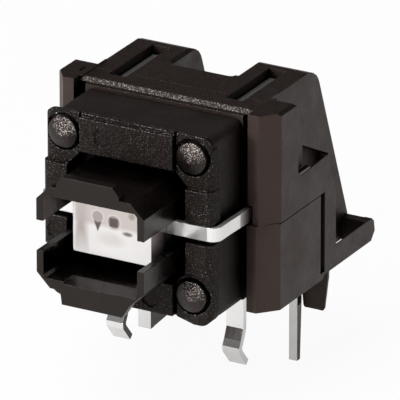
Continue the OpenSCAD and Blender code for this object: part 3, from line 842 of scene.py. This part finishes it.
# A face is a side up to the first Y of its normal and the front from the
# second. The sides are painted from a light grey to near black over a depth in mm behind the
# front, as painted shade.
FRONT_TURN = (-0.5, -0.9)
NEAR_SIDE = "#c9bdb8"
FAR_SIDE = "#1d1716"
SIDE_DEPTH = 1.5

# Faint clouds in the resin, whose surface ripples with them
CLOUD_MM = 0.6
CLOUD_MOST = 0.12
CLOUD_GREY = "#c8bdb9"
RIPPLE_MM = 0.01
CORNER_MM = 0.08
RESIN_ROUGH = 0.12
RESIN_IOR = 1.53

# Marks of the inner parts, in mm from the part's origin: shape, middle X and Z,
# half width, half height, blur as a share of the half size, colour
INNER_MARKS = [
    ("box", -1.95, 6.1, 0.34, 1.2, 0.7, "#c2b7b3"),
    ("box", -2.42, 5.9, 0.1, 1.9, 0.6, MILKY),
    ("disc", 0.0, 5.35, 0.75, 0.38, 0.5, "#ece5e2"),
    ("disc", -0.87, 6.6, 0.42, 0.42, 0.12, "#e9e1de"),
    ("diamond", -0.87, 6.3, 0.24, 0.6, 0.15, "#4d423e"),
    ("disc", -0.87, 6.6, 0.34, 0.34, 0.12, "#b3a6a1"),
    ("disc", 0.17, 6.44, 0.48, 0.48, 0.12, "#e4dbd8"),
    ("disc", 0.17, 6.44, 0.38, 0.38, 0.12, "#a09189"),
    ("box", 0.17, 6.42, 0.27, 0.26, 0.15, "#4b3e3a"),
    ("disc", 1.33, 7.01, 0.2, 0.2, 0.4, "#a99e99"),
    ("disc", 1.06, 5.88, 0.3, 0.12, 0.4, "#7d716c"),
]

resin = bpy.data.materials.new("milky_cast_epoxy")
resin.use_nodes = True
tree = resin.node_tree
tree.nodes.clear()
place = add_node(tree, "ShaderNodeTexCoord").outputs["Object"]
in_mm = add_node(
    tree,
    "ShaderNodeVectorMath",
    {0: place, 1: (1 / MM, 1 / MM, 1 / MM)},
    operation="MULTIPLY",
).outputs[0]
axes = add_node(tree, "ShaderNodeSeparateXYZ", {0: in_mm}).outputs
upper = add_node(
    tree,
    "ShaderNodeMapRange",
    {"Value": axes["Z"], "From Min": UPPER_EDGE[0], "From Max": UPPER_EDGE[1]},
).outputs[0]
front = add_node(
    tree,
    "ShaderNodeMixRGB",
    {0: upper, 1: srgb(MILKY), 2: srgb(UPPER_MILKY)},
).outputs[0]
for shape, middle_x, middle_z, half_w, half_h, blur, colour in INNER_MARKS:
    offset = add_node(
        tree,
        "ShaderNodeVectorMath",
        {0: in_mm, 1: (middle_x, 0, middle_z)},
        operation="SUBTRACT",
    ).outputs[0]
    scaled = add_node(
        tree,
        "ShaderNodeVectorMath",
        {0: offset, 1: (1 / half_w, 0, 1 / half_h)},
        operation="MULTIPLY",
    ).outputs[0]
    if shape == "disc":
        span = add_node(tree, "ShaderNodeVectorMath", {0: scaled}, operation="LENGTH")
        span = span.outputs["Value"]
    else:
        size = add_node(tree, "ShaderNodeVectorMath", {0: scaled}, operation="ABSOLUTE").outputs[0]
        sides = add_node(tree, "ShaderNodeSeparateXYZ", {0: size}).outputs
        span = add_node(
            tree,
            "ShaderNodeMath",
            {0: sides["X"], 1: sides["Z"]},
            operation="MAXIMUM" if shape == "box" else "ADD",
        ).outputs[0]
    inside = add_node(
        tree,
        "ShaderNodeMapRange",
        {"Value": span, "From Min": 1 + blur, "From Max": 1 - blur},
    ).outputs[0]
    front = add_node(tree, "ShaderNodeMixRGB", {0: inside, 1: front, 2: srgb(colour)}).outputs[0]
depth = add_node(
    tree,
    "ShaderNodeMapRange",
    {"Value": axes["Y"], "From Min": LAMP_FRONT, "From Max": LAMP_FRONT + SIDE_DEPTH},
).outputs[0]
side = add_node(
    tree,
    "ShaderNodeMixRGB",
    {0: depth, 1: srgb(NEAR_SIDE), 2: srgb(FAR_SIDE)},
).outputs[0]
facing = add_node(tree, "ShaderNodeNewGeometry").outputs["Normal"]
facing_y = add_node(tree, "ShaderNodeSeparateXYZ", {0: facing}).outputs["Y"]
is_front = add_node(
    tree,
    "ShaderNodeMapRange",
    {"Value": facing_y, "From Min": FRONT_TURN[0], "From Max": FRONT_TURN[1]},
).outputs[0]
tone = add_node(tree, "ShaderNodeMixRGB", {0: is_front, 1: side, 2: front}).outputs[0]
cloud = add_node(
    tree,
    "ShaderNodeTexNoise",
    {"Vector": place, "Scale": 1 / (CLOUD_MM * MM), "Detail": 3.0},
).outputs[0]
haze = add_node(
    tree,
    "ShaderNodeMapRange",
    {"Value": cloud, "To Min": 0.0, "To Max": CLOUD_MOST},
).outputs[0]
tone = add_node(tree, "ShaderNodeMixRGB", {0: haze, 1: tone, 2: srgb(CLOUD_GREY)}).outputs[0]
soft_normal = add_node(
    tree,
    "ShaderNodeBevel",
    {"Radius": CORNER_MM * MM},
    samples=NEARBY_SAMPLES,
).outputs[0]
bump = add_node(
    tree,
    "ShaderNodeBump",
    {"Height": cloud, "Normal": soft_normal, "Distance": RIPPLE_MM * MM},
).outputs[0]
surface = add_node(
    tree,
    "ShaderNodeBsdfPrincipled",
    {"Base Color": tone, "Roughness": RESIN_ROUGH, "IOR": RESIN_IOR, "Normal": bump},
)
add_node(tree, "ShaderNodeOutputMaterial", {"Surface": surface.outputs[0]})
finish_piece("lamp_block", resin)

# Chip and wire
# Light-emitting chip set in the cup, with a drawn gold wire over to the post.
# Both are cast into the lamp.

# Drawn gold: deep yellow and polished by the die.
finish_piece(
    "bond_wire",
    strip_metal("drawn_gold_wire", colour="#e8c56a", rough=0.2, mark_mm=0.05, edge_mm=0.01),
)

# Polished chip: dark yellow, with sawn sides.
finish_piece(
    "lamp_die",
    strip_metal("sawn_chip", colour="#b8a060", rough=0.3, mark_mm=0.05, edge_mm=0.01),
)

# Dome and spring
# Rolled spring steel, punched into a dome and coiled into a spring. Both lie
# inside the base, the spring between the plunger and the dome.

# Rolled spring steel: grey, with fine rolling marks.
spring_steel = strip_metal(
    "rolled_spring_steel",
    colour="#c0bfbc",
    rough=0.3,
    mark_mm=0.1,
    edge_mm=0.02,
)
finish_piece("snap_dome", spring_steel)
finish_piece("return_spring", spring_steel)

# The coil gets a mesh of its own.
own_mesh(nodes["return_spring"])
